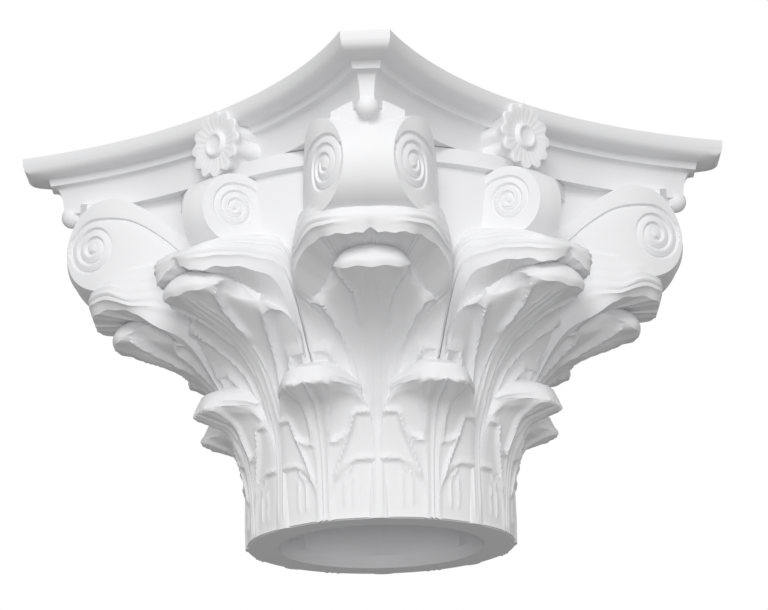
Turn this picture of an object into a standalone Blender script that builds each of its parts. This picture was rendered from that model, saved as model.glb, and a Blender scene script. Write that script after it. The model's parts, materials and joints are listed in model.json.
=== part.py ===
"""Corinthian column capital: one hollow casting with two rows of leaves, hoods, volutes, flowers and a
concave-sided abacus. Metres, +Z up, origin at the centre of the underside, X and Y square to the
abacus sides, so that the four horns point along the diagonals."""

import math

import bmesh
import bpy

# Overall height
HEIGHT = 0.400

# Share of the joined faces that is kept when the smallest ones are collapsed
FACE_SHARE = 0.70

# White primer
PRIMER_COLOUR = (0.86, 0.86, 0.87, 1.0)
PRIMER_ROUGHNESS = 0.52

# Bell: outer radius against height
BELL = [
    (0.0, 0.0),
    (0.1285, 0.0),
    (0.1300, 0.100),
    (0.1740, 0.240),
    (0.1900, 0.327),
    (0.1970, 0.329),
    (0.1970, 0.344),
    (0.1790, 0.346),
    (0.1790, 0.364),
    (0.0, 0.3640),
]
BELL_SIDES = 32

# Hollow: a round collar under an eight-sided shaft that widens upwards
COLLAR_RADIUS = 0.1006
COLLAR_HEIGHT = 0.013
SHAFT_RADIUS_LOW = 0.1075
SHAFT_RADIUS_HIGH = 0.1500
COLLAR_SIDES = 36
SHAFT_SIDES = 8

# Abacus levels: height, horn tip distance, half width of the horn face, distance of the side's middle
ABACUS = [
    (0.3450, 0.3095, 0.0064, 0.1785),
    (0.3650, 0.3125, 0.0078, 0.1815),
    (0.3735, 0.3190, 0.0096, 0.1865),
    (0.3738, 0.3225, 0.0122, 0.1890),
    (0.3802, 0.3242, 0.0136, 0.1905),
    (0.3840, 0.3370, 0.0165, 0.1985),
    (0.3910, 0.3488, 0.0220, 0.2070),
    (0.4000, 0.3500, 0.0226, 0.2080),
]
ABACUS_ARC_POINTS = 7

# Corner volutes: eye position, then for each metre along the face how far it goes outwards and inwards,
# and how much wider it gets behind the eye at most, then the outline along and up the face
CORNER_EYE = (0.2775, 0.0425, 0.2980)
CORNER_FACE = (0.8746, 0.6300, 0.0225)
CORNER_OUTLINE = [
    (-0.1500, 0.2400),
    (-0.1500, 0.2750),
    (-0.0970, 0.3060),
    (-0.0635, 0.3290),
    (-0.0300, 0.3415),
    (0.0000, 0.3400),
    (0.0130, 0.3340),
    (0.0225, 0.3250),
    (0.0285, 0.3130),
    (0.0310, 0.2990),
    (0.0295, 0.2850),
    (0.0235, 0.2720),
    (0.0130, 0.2620),
    (0.0000, 0.2550),
    (-0.0300, 0.2480),
]
CORNER_DISC = 0.0300
BAND_RIDGE = 0.0030

# Prow that fills the gap between a corner volute and the abacus, from its middle to its side: distance
# from the middle, distance out along the diagonal and height
CROWN = [(0.0, 0.2920, 0.3560), (0.0170, 0.2870, 0.3530), (0.0340, 0.2820, 0.3435)]
CROWN_FOOT = 0.3220
CROWN_BACK = 0.2400

# Side volutes, set out in the same way from the middle of an abacus side
SIDE_EYE = (0.2080, 0.0255, 0.2975)
SIDE_FACE = (0.9455, 0.3256, 0.0800)
SIDE_OUTLINE = [
    (-0.0900, 0.2400),
    (-0.0900, 0.2650),
    (-0.0500, 0.3030),
    (-0.0260, 0.3230),
    (-0.0050, 0.3300),
    (0.0120, 0.3280),
    (0.0240, 0.3195),
    (0.0315, 0.3070),
    (0.0335, 0.2930),
    (0.0300, 0.2790),
    (0.0210, 0.2680),
    (0.0080, 0.2610),
    (-0.0200, 0.2560),
]
SIDE_DISC = 0.0270

# Spiral cut into each disc: rings as shares of the disc radius, turns from eye to rim, depth of the cut
SPIRAL_RINGS = [0.94, 0.68, 0.42, 0.16]
SPIRAL_TURNS = 1.30
SPIRAL_DEPTH = 0.0046

# Small ball under the horn, between the two discs
BALL_CENTRE = (0.3020, 0.3440)
BALL_RADIUS = 0.0108

# Flowers
FLOWER_HEIGHT = 0.3660
FLOWER_PETALS = 12
FLOWER_POINTS = 24
FLOWER_RINGS = [
    (0.1650, 0.0190, 0.00),
    (0.2000, 0.0300, 0.10),
    (0.2080, 0.0332, 0.16),
    (0.2090, 0.0130, 0.00),
    (0.2135, 0.0110, 0.00),
]

# Hood over each upper leaf, half of it from the front middle to the valley end. Each row holds one
# section: lip edge, outer swell, top edge, root inside the volute, and the hollow underside
CORNER_HOOD = [
    [(0.2790, 0.000, 0.2350), (0.2835, 0.000, 0.2480), (0.2790, 0.000, 0.2620),
     (0.1500, 0.000, 0.2850), (0.2300, 0.000, 0.2300)],
    [(0.2790, 0.015, 0.2315), (0.2830, 0.018, 0.2480), (0.2775, 0.018, 0.2620),
     (0.1500, 0.010, 0.2850), (0.2280, 0.012, 0.2290)],
    [(0.2760, 0.034, 0.2318), (0.2790, 0.038, 0.2480), (0.2710, 0.037, 0.2630),
     (0.1500, 0.020, 0.2850), (0.2230, 0.025, 0.2250)],
    [(0.2600, 0.052, 0.2320), (0.2615, 0.057, 0.2480), (0.2540, 0.051, 0.2665),
     (0.1500, 0.030, 0.2850), (0.2140, 0.034, 0.2180)],
    [(0.2380, 0.067, 0.2230), (0.2370, 0.067, 0.2460), (0.2330, 0.060, 0.2690),
     (0.1500, 0.040, 0.2850), (0.1990, 0.041, 0.2060)],
    [(0.2130, 0.073, 0.2080), (0.2090, 0.073, 0.2420), (0.2040, 0.068, 0.2680),
     (0.1450, 0.050, 0.2600), (0.1830, 0.045, 0.1910)],
    [(0.1800, 0.068, 0.1890), (0.1750, 0.073, 0.2180), (0.1690, 0.074, 0.2380),
     (0.1300, 0.055, 0.2150), (0.1590, 0.044, 0.1630)],
    [(0.1450, 0.055, 0.1330), (0.1400, 0.058, 0.1500), (0.1360, 0.058, 0.1600),
     (0.1150, 0.050, 0.1500), (0.1300, 0.045, 0.1200)],
]
SIDE_HOOD = [
    [(0.2610, 0.000, 0.2340), (0.2640, 0.000, 0.2430), (0.2560, 0.000, 0.2500),
     (0.1500, 0.000, 0.2850), (0.2300, 0.000, 0.2280)],
    [(0.2620, 0.014, 0.2290), (0.2640, 0.016, 0.2420), (0.2550, 0.016, 0.2500),
     (0.1500, 0.010, 0.2850), (0.2280, 0.011, 0.2270)],
    [(0.2580, 0.030, 0.2232), (0.2580, 0.032, 0.2420), (0.2480, 0.029, 0.2520),
     (0.1500, 0.020, 0.2850), (0.2215, 0.022, 0.2268)],
    [(0.2430, 0.044, 0.2270), (0.2410, 0.046, 0.2440), (0.2320, 0.036, 0.2580),
     (0.1500, 0.026, 0.2850), (0.2130, 0.032, 0.2190)],
    [(0.2180, 0.058, 0.2250), (0.2130, 0.058, 0.2450), (0.2050, 0.048, 0.2620),
     (0.1480, 0.036, 0.2750), (0.1930, 0.041, 0.2040)],
    [(0.1870, 0.065, 0.2110), (0.1820, 0.068, 0.2340), (0.1770, 0.062, 0.2530),
     (0.1350, 0.050, 0.2300), (0.1690, 0.044, 0.1800)],
    [(0.1450, 0.055, 0.1330), (0.1400, 0.058, 0.1500), (0.1360, 0.058, 0.1600),
     (0.1150, 0.050, 0.1500), (0.1300, 0.045, 0.1200)],
]

# Lower leaves: sections from the midrib (0) to the edge (1), each a closed run of radius and height
# that goes up the face, round the curled lip and back down inside the bell
LOWER_LEAF = {
    0.00: [(0.1335, 0.0012), (0.1345, 0.0340), (0.1370, 0.0600), (0.1430, 0.0850),
           (0.1545, 0.1065), (0.1695, 0.1155), (0.1865, 0.1232), (0.1800, 0.1380),
           (0.1548, 0.1494), (0.1300, 0.1580), (0.1190, 0.1000), (0.1190, 0.0012)],
    0.30: [(0.1320, 0.0012), (0.1332, 0.0340), (0.1358, 0.0600), (0.1415, 0.0850),
           (0.1530, 0.1070), (0.1675, 0.1160), (0.1840, 0.1230), (0.1775, 0.1380),
           (0.1530, 0.1490), (0.1300, 0.1570), (0.1190, 0.1000), (0.1190, 0.0012)],
    0.56: [(0.1305, 0.0012), (0.1315, 0.0340), (0.1338, 0.0600), (0.1388, 0.0850),
           (0.1490, 0.1080), (0.1612, 0.1165), (0.1740, 0.1225), (0.1672, 0.1355),
           (0.1490, 0.1444), (0.1300, 0.1520), (0.1190, 0.1000), (0.1190, 0.0012)],
    0.66: [(0.1320, 0.0012), (0.1340, 0.0280), (0.1350, 0.0500), (0.1370, 0.0740),
           (0.1440, 0.1000), (0.1560, 0.1140), (0.1680, 0.1215), (0.1610, 0.1330),
           (0.1450, 0.1400), (0.1290, 0.1460), (0.1190, 0.1000), (0.1190, 0.0012)],
    0.86: [(0.1328, 0.0012), (0.1350, 0.0240), (0.1318, 0.0420), (0.1400, 0.0640),
           (0.1360, 0.0800), (0.1480, 0.1050), (0.1560, 0.1205), (0.1500, 0.1280),
           (0.1390, 0.1330), (0.1300, 0.1330), (0.1190, 0.0950), (0.1190, 0.0012)],
    1.00: [(0.1300, 0.0012), (0.1318, 0.0160), (0.1280, 0.0340), (0.1355, 0.0530),
           (0.1300, 0.0700), (0.1410, 0.0960), (0.1480, 0.1175), (0.1420, 0.1240),
           (0.1340, 0.1260), (0.1270, 0.1260), (0.1190, 0.0900), (0.1190, 0.0012)],
}
LOWER_STATIONS = [0.0, 0.17, 0.56, 0.66, 0.86, 1.0]
LOWER_GROOVE = 0.17
LOWER_GROOVE_DEPTH = 0.0026
# Degrees from the corner's diagonal at each point of a section: inner edge, midrib and outer edge
LOWER_ANGLES = [
    (2.0, 22.8, 43.0), (1.8, 22.8, 43.2), (1.2, 22.6, 43.2), (1.0, 22.4, 42.8), (3.0, 21.8, 41.0),
    (6.2, 20.8, 38.8), (8.4, 19.6, 37.0), (8.6, 19.8, 37.4), (8.6, 20.5, 38.5), (8.0, 22.3, 39.0),
    (3.0, 22.3, 41.0), (3.0, 22.3, 41.0),
]

# Upper leaves, set out in the same way, with a stem that runs down between the lower leaves
UPPER_LEAF = {
    0.00: [(0.1330, 0.0012, 4.3), (0.1325, 0.080, 4.6), (0.1410, 0.115, 12.0), (0.1560, 0.148, 19.5),
           (0.1780, 0.172, 20.0), (0.2070, 0.188, 15.6), (0.2380, 0.1990, 10.8), (0.2590, 0.2050, 8.4),
           (0.2610, 0.2130, 8.2), (0.2540, 0.2260, 8.6), (0.2350, 0.2370, 9.2), (0.1800, 0.2760, 15.0),
           (0.1350, 0.2150, 22.0), (0.1190, 0.0012, 4.0)],
    0.50: [(0.1320, 0.0012, 4.3), (0.1310, 0.080, 4.6), (0.1375, 0.115, 12.0), (0.1515, 0.148, 19.5),
           (0.1730, 0.172, 20.0), (0.2010, 0.190, 15.6), (0.2330, 0.2020, 10.8), (0.2560, 0.2065, 8.4),
           (0.2580, 0.2130, 8.2), (0.2510, 0.2230, 8.6), (0.2330, 0.2330, 9.2), (0.1800, 0.2760, 15.0),
           (0.1350, 0.2150, 22.0), (0.1190, 0.0012, 4.0)],
    0.76: [(0.1310, 0.0012, 4.3), (0.1300, 0.080, 4.6), (0.1400, 0.115, 12.0), (0.1560, 0.1430, 19.5),
           (0.1790, 0.170, 20.0), (0.2000, 0.192, 15.6), (0.2320, 0.2030, 10.8), (0.2520, 0.2080, 8.4),
           (0.2540, 0.2130, 8.2), (0.2460, 0.2220, 8.6), (0.2280, 0.2290, 9.2), (0.1800, 0.2760, 15.0),
           (0.1350, 0.2150, 22.0), (0.1190, 0.0012, 4.0)],
    1.00: [(0.1290, 0.0012, 4.3), (0.1285, 0.080, 4.6), (0.1350, 0.115, 12.0), (0.1490, 0.1420, 19.5),
           (0.1680, 0.174, 20.0), (0.1870, 0.196, 15.6), (0.2200, 0.2080, 10.8), (0.2420, 0.2110, 8.4),
           (0.2440, 0.2130, 8.2), (0.2380, 0.2170, 8.6), (0.2200, 0.2230, 9.2), (0.1800, 0.2760, 15.0),
           (0.1350, 0.2150, 22.0), (0.1190, 0.0012, 4.0)],
}
UPPER_STATIONS = [0.0, 0.50, 0.76, 1.0]
LEAF_FACE_POINTS = 6


def turned(point, degrees):
    """A point turned about the vertical axis."""
    c = math.cos(math.radians(degrees))
    s = math.sin(math.radians(degrees))
    return (point[0] * c - point[1] * s, point[0] * s + point[1] * c, point[2])


def wrapped(radius, degrees, height):
    """A point given by radius, angle and height."""
    a = math.radians(degrees)
    return (radius * math.cos(a), radius * math.sin(a), height)


def lofted(name, rings, degrees, collection, centres=None):
    """One closed solid from equal rings of points. An end closes on its centre point, if given."""
    mesh = bmesh.new()
    rows = [[mesh.verts.new(turned(p, degrees)) for p in ring] for ring in rings]
    count = len(rings[0])
    for low, high in zip(rows, rows[1:]):
        for i in range(count):
            j = (i + 1) % count
            mesh.faces.new((low[i], low[j], high[j], high[i]))
    for row, centre in ((rows[0], 0), (rows[-1], 1)):
        if centres and centres[centre]:
            hub = mesh.verts.new(turned(centres[centre], degrees))
            for i in range(count):
                mesh.faces.new((row[i], row[(i + 1) % count], hub))
        else:
            mesh.faces.new(row)
    bmesh.ops.recalc_face_normals(mesh, faces=mesh.faces)
    bmesh.ops.triangulate(mesh, faces=mesh.faces)
    data = bpy.data.meshes.new(name)
    mesh.to_mesh(data)
    mesh.free()
    obj = bpy.data.objects.new(name, data)
    collection.objects.link(obj)
    return obj


def between(sections, share):
    """The section at this share of the half width, mixed from the two that lie nearest."""
    keys = sorted(sections)
    for low, high in zip(keys, keys[1:]):
        if share <= high:
            mix = (share - low) / (high - low)
            return [
                tuple(a + (b - a) * mix for a, b in zip(p, q))
                for p, q in zip(sections[low], sections[high])
            ]
    return sections[keys[-1]]


def abacus_ring(height, tip, half, middle):
    """The outline of one level: four short horn faces joined by four hollow arcs."""
    ring = []
    end_out = (tip + half) / math.sqrt(2)
    end_along = (tip - half) / math.sqrt(2)
    rise = end_out - middle
    radius = (end_along**2 + rise**2) / (2 * rise)
    sweep = math.asin(end_along / radius)
    for side in range(4):
        for k in range(ABACUS_ARC_POINTS):
            a = sweep * (2 * k / (ABACUS_ARC_POINTS - 1) - 1)
            out = middle + radius * (1 - math.cos(a))
            ring.append(turned((out, radius * math.sin(a), height), 90 * side))
    return ring


def on_face(eye, face, along, height):
    """A point on a volute's face, which bends to run straight back behind the eye."""
    out, slope, widest = face
    if along > 0:
        return (eye[0] + along * out, eye[1] - along * slope, height)
    return (eye[0] + along * out, eye[1] + widest * (1 - math.exp(along * slope / widest)), height)


def arm_rings(eye, face, outline, ridge):
    """Left, middle and right outlines of a volute arm."""
    right = [on_face(eye, face, u, z) for u, z in outline]
    left = [(x, -y, z) for x, y, z in right]
    middle = [(x + (ridge if x > eye[0] else 0.0), 0.0, z) for x, _, z in right]
    return left, middle, right


def spiral_rings(eye, face, radius, outline):
    """Rings that run in from the rim of a disc to its eye, pressed in along a spiral."""
    start = math.atan2(outline[0][1] - eye[2], outline[0][0])
    rings = []
    for share in SPIRAL_RINGS:
        ring = []
        for k in range(len(outline)):
            a = start - 2 * math.pi * k / len(outline)
            turn = SPIRAL_TURNS * share - a / (2 * math.pi)
            press = SPIRAL_DEPTH * (0.5 - 0.5 * math.cos(2 * math.pi * turn))
            x, y, z = on_face(eye, face, radius * share * math.cos(a), eye[2] + radius * share * math.sin(a))
            ring.append((x - press * face[1], y - press * face[0], z))
        rings.append(ring)
    return rings


def volute_arm(name, eye, face, outline, radius, ridge, degrees, collection):
    """An arm with two faces, each with its spiral."""
    left, middle, right = arm_rings(eye, face, outline, ridge)
    inner_right = spiral_rings(eye, face, radius, outline)
    inner_left = [[(x, -y, z) for x, y, z in ring] for ring in inner_right]
    hubs = [(eye[0], -eye[1], eye[2]), eye]
    lofted(name, inner_left[::-1] + [left, middle, right] + inner_right, degrees, collection, hubs)


def flower(name, degrees, collection):
    """A flower facing outwards from the middle of an abacus side."""
    rings = []
    for out, radius, scallop in FLOWER_RINGS:
        ring = []
        for k in range(FLOWER_POINTS):
            a = 2 * math.pi * k / FLOWER_POINTS
            r = radius * (1 - scallop * (0.5 - 0.5 * math.cos(FLOWER_PETALS * a)))
            ring.append((out, r * math.cos(a), FLOWER_HEIGHT + r * math.sin(a)))
        rings.append(ring)
    lofted(name, rings, degrees, collection)


def hood(name, half, degrees, collection):
    """A shell-like hood, mirrored about its middle."""
    rings = [[(x, -y, z) for x, y, z in section] for section in half[:0:-1]] + half
    lofted(name, rings, degrees, collection)


def crown(degrees, collection):
    """The prow above a corner volute."""
    rings = []
    for y, x, z in [(-y, x, z) for y, x, z in CROWN[:0:-1]] + CROWN:
        rings.append([(x, y, CROWN_FOOT), (x, y, z), (CROWN_BACK, y, z), (CROWN_BACK, y, CROWN_FOOT)])
    lofted("crown", rings, degrees, collection)


def mirrored(stations):
    """Stations from one edge of a leaf to the other, given those from its midrib to an edge."""
    return [-u for u in stations[:0:-1]] + stations


def lower_leaf(name, hand, degrees, collection):
    """A lower leaf: a midrib between two grooves, and lobes along each edge. It leans to its corner."""
    rings = []
    for u in mirrored(LOWER_STATIONS):
        ring = []
        for i, (r, z) in enumerate(between(LOWER_LEAF, abs(u))):
            inner, middle, outer = LOWER_ANGLES[i]
            if i < LEAF_FACE_POINTS and abs(u) == LOWER_GROOVE:
                r -= LOWER_GROOVE_DEPTH
            angle = middle + u * (outer - middle if u > 0 else middle - inner)
            ring.append(wrapped(r, hand * angle, z))
        rings.append(ring)
    lofted(name, rings, degrees, collection)


def upper_leaf(name, degrees, collection):
    """An upper leaf with its stem: a smooth middle and a blade along each edge."""
    rings = []
    for u in mirrored(UPPER_STATIONS):
        ring = []
        for r, z, half in between(UPPER_LEAF, abs(u)):
            ring.append(wrapped(r, u * half, z))
        rings.append(ring)
    lofted(name, rings, degrees, collection)


def ball(degrees, collection):
    """The small ball under a horn."""
    centre = turned((BALL_CENTRE[0], 0.0, BALL_CENTRE[1]), degrees)
    mesh = bmesh.new()
    bmesh.ops.create_uvsphere(mesh, u_segments=8, v_segments=6, radius=BALL_RADIUS)
    bmesh.ops.translate(mesh, verts=mesh.verts, vec=centre)
    data = bpy.data.meshes.new("ball")
    mesh.to_mesh(data)
    mesh.free()
    collection.objects.link(bpy.data.objects.new("ball", data))


def cutter(name, sides, low, high, turn, collection):
    """A closed cone or cylinder from (radius, height) to (radius, height), used to cut the hollow."""
    rings = []
    for radius, height in (low, high):
        rings.append([wrapped(radius, turn + 360 * k / sides, height) for k in range(sides)])
    obj = lofted(name, rings, 0.0, collection)
    obj.display_type = "WIRE"
    obj.hide_render = True
    return obj


def primer_material():
    """The white primer, almost matt."""
    material = bpy.data.materials.new("white primer")
    material.use_nodes = True
    shader = material.node_tree.nodes["Principled BSDF"]
    shader.inputs["Base Color"].default_value = PRIMER_COLOUR
    shader.inputs["Roughness"].default_value = PRIMER_ROUGHNESS
    return material


def clear_scene():
    for obj in list(bpy.data.objects):
        bpy.data.objects.remove(obj, do_unlink=True)


def new_collection(name, hidden):
    collection = bpy.data.collections.new(name)
    bpy.context.scene.collection.children.link(collection)
    collection.hide_render = hidden
    return collection


def bell_object(collection):
    """The bell, turned by a Screw modifier from its outline, read from the top down."""
    data = bpy.data.meshes.new("capital")
    points = [(r, 0.0, z) for r, z in reversed(BELL)]
    data.from_pydata(points, [(i, i + 1) for i in range(len(points) - 1)], [])
    data.materials.append(primer_material())
    obj = bpy.data.objects.new("capital", data)
    collection.objects.link(obj)
    screw = obj.modifiers.new("Turned", "SCREW")
    screw.steps = BELL_SIDES
    screw.render_steps = BELL_SIDES
    screw.use_merge_vertices = True
    screw.merge_threshold = 0.00005
    screw.use_smooth_shade = True
    return obj


def main():
    clear_scene()
    shown = new_collection("corinthian_capital", False)
    raised = new_collection("raised_work", True)
    cutters = new_collection("hollow", True)
    capital = bell_object(shown)

    lofted("abacus", [abacus_ring(*level) for level in ABACUS], 0.0, raised)
    for k in range(4):
        corner = 45 + 90 * k
        volute_arm("corner_volute", CORNER_EYE, CORNER_FACE, CORNER_OUTLINE,
                   CORNER_DISC, BAND_RIDGE, corner, raised)
        volute_arm("side_volute", SIDE_EYE, SIDE_FACE, SIDE_OUTLINE,
                   SIDE_DISC, 0.0, 90 * k, raised)
        crown(corner, raised)
        hood("corner_hood", CORNER_HOOD, corner, raised)
        hood("side_hood", SIDE_HOOD, 90 * k, raised)
        flower("flower", 90 * k, raised)
        ball(corner, raised)
        for hand in (-1, 1):
            lower_leaf("lower_leaf", hand, corner, raised)
    for k in range(8):
        upper_leaf("upper_leaf", 45 * k, raised)

    join = capital.modifiers.new("Join", "BOOLEAN")
    join.operation = "UNION"
    join.operand_type = "COLLECTION"
    join.collection = raised
    join.solver = "EXACT"

    slope = (SHAFT_RADIUS_HIGH - SHAFT_RADIUS_LOW) / (HEIGHT - COLLAR_HEIGHT)
    over = 0.01
    cutter("collar", COLLAR_SIDES, (COLLAR_RADIUS, -over), (COLLAR_RADIUS, COLLAR_HEIGHT + over), 0.0, cutters)
    cutter("shaft", SHAFT_SIDES, (SHAFT_RADIUS_LOW, COLLAR_HEIGHT),
           (SHAFT_RADIUS_HIGH + slope * over, HEIGHT + over), 0.0, cutters)
    hollow = capital.modifiers.new("Hollow", "BOOLEAN")
    hollow.operation = "DIFFERENCE"
    hollow.operand_type = "COLLECTION"
    hollow.collection = cutters
    hollow.solver = "EXACT"

    fewer = capital.modifiers.new("Fewer faces", "DECIMATE")
    fewer.ratio = FACE_SHARE
    fewer.use_collapse_triangulate = True


main()
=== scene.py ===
# %% [markdown]
# A Corinthian capital is the carved head of a column: a bell wrapped in two rows of leaves, with scrolls at
# the corners and a hollow-sided slab, the abacus, on top. This one is a single hollow casting with a white
# primer on it. The imported CAD part is loaded first, as a fixed frame, because the carving made here has to
# stay on that solid. Its box is kept, and its height sets the height of the hollow.

# %% Load the frame
import json
import math

import bmesh
import bpy
import numpy as np
from mathutils import Matrix, Vector
from mathutils.geometry import delaunay_2d_cdt

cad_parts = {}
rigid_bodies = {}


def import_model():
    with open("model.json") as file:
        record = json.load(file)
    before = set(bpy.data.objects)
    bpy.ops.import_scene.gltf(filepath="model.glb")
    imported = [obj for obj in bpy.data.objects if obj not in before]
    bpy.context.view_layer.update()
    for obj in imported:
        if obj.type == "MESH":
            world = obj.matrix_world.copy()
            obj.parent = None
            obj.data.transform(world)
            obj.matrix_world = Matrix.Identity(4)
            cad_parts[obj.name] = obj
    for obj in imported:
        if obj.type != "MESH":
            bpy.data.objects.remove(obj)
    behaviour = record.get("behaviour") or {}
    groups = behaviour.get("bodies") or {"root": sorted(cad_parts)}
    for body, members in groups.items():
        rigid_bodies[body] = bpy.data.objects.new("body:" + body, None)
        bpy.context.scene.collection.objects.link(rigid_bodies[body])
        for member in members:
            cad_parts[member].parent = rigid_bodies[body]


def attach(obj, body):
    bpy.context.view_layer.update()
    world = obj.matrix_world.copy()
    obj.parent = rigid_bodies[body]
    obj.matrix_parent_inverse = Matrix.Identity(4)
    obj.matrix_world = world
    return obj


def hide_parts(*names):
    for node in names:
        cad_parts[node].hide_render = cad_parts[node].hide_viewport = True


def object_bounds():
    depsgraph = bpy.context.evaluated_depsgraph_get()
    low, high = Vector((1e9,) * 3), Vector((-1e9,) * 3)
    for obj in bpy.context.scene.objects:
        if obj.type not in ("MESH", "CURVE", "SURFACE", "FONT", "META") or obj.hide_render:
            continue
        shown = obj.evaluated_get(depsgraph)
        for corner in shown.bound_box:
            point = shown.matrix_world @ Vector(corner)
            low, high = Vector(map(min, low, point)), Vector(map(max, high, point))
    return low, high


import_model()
cad_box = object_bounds()
HEIGHT = cad_box[1][2]
print("the solid is", round(HEIGHT, 4), "m high")

# %% [markdown]
# Carving like this is a few rows of the same leaf, so each form is drawn once as sections and then repeated
# round the axis. A section only needs points where the form turns. A smooth curve is passed through them,
# both along a section and from one section to the next, which is what a modeller does with a knife and a
# template. Subdivision surfaces would also give soft forms, but they round off the crisp edges of the lobes.


# %% Smooth curves through a few points
def through(keys, values, at):
    """Values at the places `at`, on a smooth curve through the values given at `keys`."""
    keys = np.asarray(keys, float)
    values = np.asarray(values, float)
    at = np.asarray(at, float)
    shape = (-1,) + (1,) * (values.ndim - 1)
    gaps = np.diff(keys)
    steps = np.diff(values, axis=0) / gaps.reshape(shape)
    slopes = np.concatenate([steps[:1], (steps[1:] + steps[:-1]) / 2, steps[-1:]])
    k = np.clip(np.searchsorted(keys, at, side="right") - 1, 0, len(gaps) - 1)
    t = ((at - keys[k]) / gaps[k]).reshape(shape)
    h = gaps[k].reshape(shape)
    low = (1 + 2 * t) * (1 - t) ** 2 * values[k] + t * (1 - t) ** 2 * h * slopes[k]
    high = t * t * (3 - 2 * t) * values[k + 1] + t * t * (t - 1) * h * slopes[k + 1]
    return low + high


def sections_at(sections, shares):
    """One section for each share of the half width, smoothly mixed, alike on both sides of the middle."""
    keys = sorted(sections)
    values = [sections[k] for k in keys]
    both = [-k for k in keys[:0:-1]] + keys
    return through(both, values[:0:-1] + values, shares)


def even(low, high, count):
    return np.linspace(low, high, count)


# %% [markdown]
# Every form is a closed skin: rows of equal rings, joined by faces, with a cap on each end. Closed skins can
# be joined into one casting later. Relief, such as a vein or the swelling of a lobe, is added by pushing the
# points of a skin along its own normals, so the same relief fits a curled leaf and a flat one.

# %% Closed skins
forms = bpy.data.collections.new("forms")
bpy.context.scene.collection.children.link(forms)


def closed_form(name, points, faces):
    """An object from points and faces, with all its normals pointing outwards."""
    mesh = bmesh.new()
    verts = [mesh.verts.new(p) for p in points]
    for face in faces:
        mesh.faces.new([verts[i] for i in face])
    bmesh.ops.recalc_face_normals(mesh, faces=mesh.faces)
    bmesh.ops.triangulate(mesh, faces=mesh.faces)
    data = bpy.data.meshes.new(name)
    mesh.to_mesh(data)
    mesh.free()
    obj = bpy.data.objects.new(name, data)
    forms.objects.link(obj)
    return obj


def lofted(name, rings, hubs=None):
    """A closed form from rings of equal length. With hubs, each end closes on its own middle point."""
    rows, ring = len(rings), len(rings[0])
    points = np.asarray(rings, float).reshape(-1, 3)
    faces = []
    for i in range(rows - 1):
        for j in range(ring):
            k = (j + 1) % ring
            faces.append((i * ring + j, i * ring + k, (i + 1) * ring + k, (i + 1) * ring + j))
    ends = [list(range(ring)), list(range((rows - 1) * ring, rows * ring))]
    if hubs:
        points = np.vstack([points, hubs])
        for end, hub in zip(ends, (rows * ring, rows * ring + 1)):
            faces += [(end[j], end[(j + 1) % ring], hub) for j in range(ring)]
    else:
        faces += ends
    return closed_form(name, points, faces)


def pushed(rings, amount):
    """Rings with each point moved outwards along the skin's normal by its amount, in metres."""
    rings = np.asarray(rings, float)
    along = np.gradient(rings, axis=0)
    around = np.roll(rings, -1, axis=1) - np.roll(rings, 1, axis=1)
    normal = np.cross(along, around)
    normal /= np.maximum(np.linalg.norm(normal, axis=2, keepdims=True), 1e-12)
    outwards = (normal * (rings - rings.mean(axis=1, keepdims=True))).sum()
    return rings + normal * (np.sign(outwards) * amount)[..., None]


def turned(points, degrees):
    """Points turned about the column's axis."""
    c = math.cos(math.radians(degrees))
    s = math.sin(math.radians(degrees))
    return np.asarray(points, float) @ np.array([[c, s, 0], [-s, c, 0], [0, 0, 1]])


def around_axis(radius, degrees, height):
    """Points from radius, angle and height."""
    a = np.radians(degrees)
    return np.stack([radius * np.cos(a), radius * np.sin(a), height + 0 * a], axis=-1)


# %% [markdown]
# A carver first raises each lobe as a low cushion with a firm edge, then runs the veins in with a gouge. The
# helpers below do the same on a flat drawing in millimetres: a lobe is an area that swells up from its
# outline, and a vein is a line that sinks in. A painted height map could do it too, but a drawing in numbers
# is easier to change.


# %% Lobes and veins
def distance_to_line(x, y, line):
    """Distance from each point to a line of points, and on which side of it the point lies."""
    best = np.full(np.shape(x), np.inf)
    side = np.zeros(np.shape(x))
    for (x0, y0), (x1, y1) in zip(line, line[1:]):
        dx, dy = x1 - x0, y1 - y0
        t = np.clip(((x - x0) * dx + (y - y0) * dy) / (dx * dx + dy * dy), 0, 1)
        d = np.hypot(x - x0 - t * dx, y - y0 - t * dy)
        near = d < best
        best = np.where(near, d, best)
        side = np.where(near, np.sign(dx * (y - y0) - dy * (x - x0)), side)
    return best, side


def inside(x, y, outline):
    """True where a point lies inside a closed outline."""
    result = np.zeros(np.shape(x), bool)
    for (x0, y0), (x1, y1) in zip(outline, outline[1:] + outline[:1]):
        crosses = (y0 > y) != (y1 > y)
        if y1 != y0:
            result ^= crosses & (x < x0 + (x1 - x0) * (y - y0) / (y1 - y0))
    return result


def lobe(x, y, outline, height, edge):
    """A cushion that rises from its outline to its full height over the width of its edge."""
    d, _ = distance_to_line(x, y, outline + outline[:1])
    share = np.clip(d / edge, 0, 1)
    return np.where(inside(x, y, outline), height * (1 - (1 - share) ** 2.4), 0.0)


def vein(x, y, line, depth, width):
    """A groove along a line, deepest on the line."""
    d, _ = distance_to_line(x, y, line)
    return -depth * np.exp(-((d / width) ** 2))


def relief(x, y, lobes, veins):
    """How far a skin stands out, in metres, at places on a drawing in millimetres."""
    mm = np.zeros(np.shape(x))
    for outline, low, gain, start, length, edge in lobes:
        height = low + gain * np.clip((y - start) / length, 0, 1)
        mm = np.maximum(mm, lobe(x, y, outline, height, edge))
    for lines, depth, width in veins:
        for line in lines:
            mm = mm + vein(x, y, line, depth, width)
    return mm / 1000


# %% [markdown]
# The bell is the plain body behind the leaves, and only shows under its turned lip and between the scrolls.
# It is a turned shape, so its outline is swept round the axis.

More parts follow.
